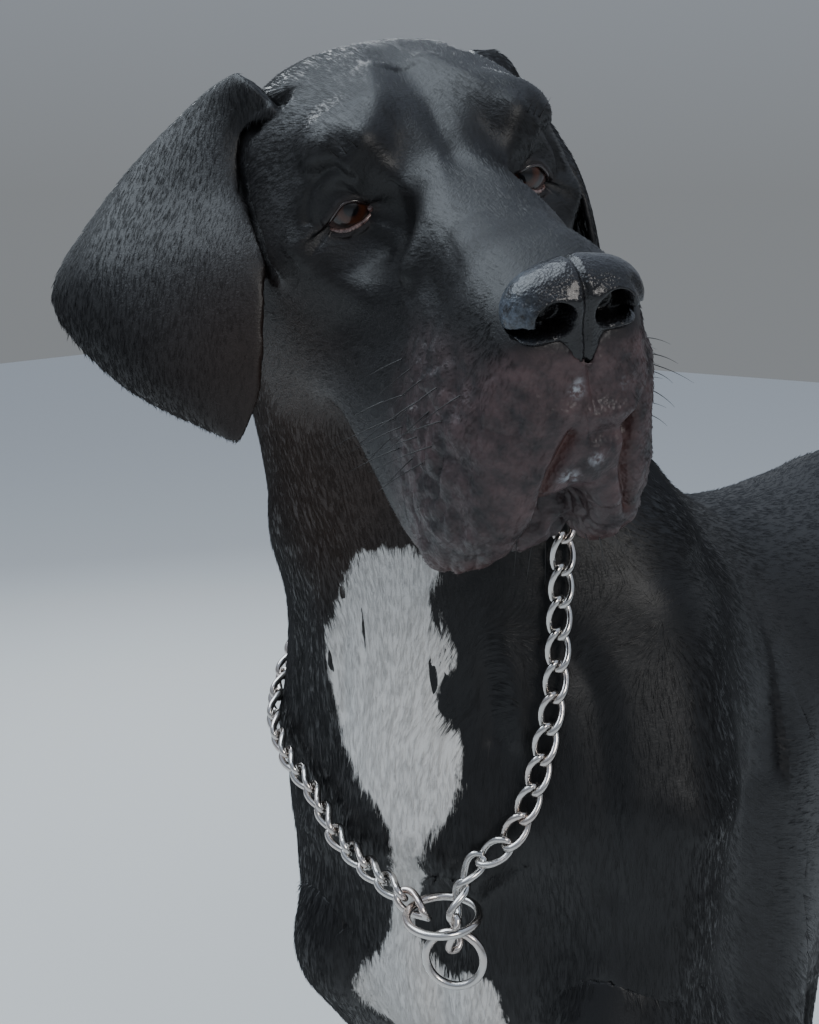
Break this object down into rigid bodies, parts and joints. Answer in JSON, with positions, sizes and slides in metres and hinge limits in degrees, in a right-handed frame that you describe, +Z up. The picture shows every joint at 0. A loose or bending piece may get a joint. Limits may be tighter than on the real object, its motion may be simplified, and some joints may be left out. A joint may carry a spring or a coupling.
{
  "type": "great dane",
  "caption": "Life-size standing great dane with its head turned to its left, drop ears, hanging flews, a long tail and a chain choke collar with rings.",
  "frame": {"origin": "middle of the whole bounding box, on the floor under the paws", "axes": "+Z up, -Y the way the chest faces, +X the dog's left"},
  "size_m": [0.3214, 1.0534, 1.0917],
  "materials": {
    "coat": "short glossy fur",
    "nose": "moist and pebbled",
    "eyes": "wet",
    "chain": "polished nickel, lightly worn"
  },
  "bodies": {
    "root": {"head": "coat", "neck": "coat", "chest": "coat", "loin": "coat", "hindquarters": "coat", "tail": "coat", "lower_jaw": "coat", "shoulder_left": "coat", "shoulder_right": "coat", "foreleg_left": "coat", "foreleg_right": "coat", "forepaw_left": "coat", "forepaw_right": "coat", "thigh_left": "coat", "thigh_right": "coat", "hindleg_left": "coat", "hindleg_right": "coat", "hindpaw_left": "coat", "hindpaw_right": "coat", "ear_left": "coat", "ear_right": "coat", "nose_leather": "nose", "eye_left": "eyes", "eye_right": "eyes", "chain_1": "chain", "chain_2": "chain", "chain_3": "chain", "chain_4": "chain", "slip_ring": "chain", "end_ring": "chain"}
  },
  "joints": []
}
